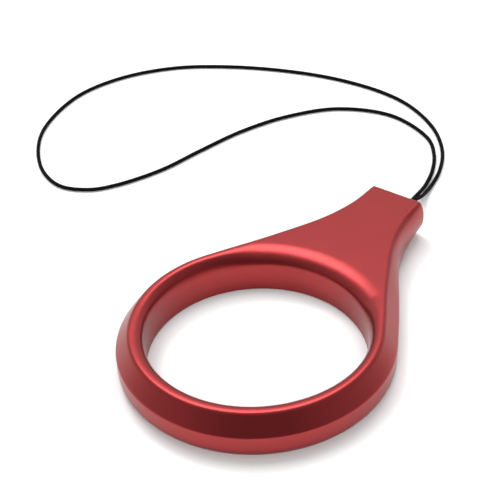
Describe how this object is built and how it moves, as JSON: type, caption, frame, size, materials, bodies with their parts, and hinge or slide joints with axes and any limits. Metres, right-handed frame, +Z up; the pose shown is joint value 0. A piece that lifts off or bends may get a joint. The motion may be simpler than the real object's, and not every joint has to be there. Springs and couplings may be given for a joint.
{
  "type": "phone finger strap",
  "caption": "Flat-lying metal finger ring with a bevelled rim and a flared neck, and a thin black cord loop from the neck's end for tying it to a phone.",
  "frame": {"origin": "middle of the ring body's length and width, on the surface it lies on", "axes": "+Y along the neck, from the finger ring towards the squared-off end; +Z up; +X to the right of the neck seen from above"},
  "size_m": [0.0836, 0.0844, 0.006],
  "materials": {
    "anodised_red": "satin, fine blasted and anodised red",
    "sleeve_metal": "plain, crimped",
    "black_braid": "fine tight braid, matt"
  },
  "bodies": {
    "root": {"ring_body": "anodised_red", "crimp_sleeve": "sleeve_metal", "strap_cord": "black_braid"}
  },
  "joints": []
}
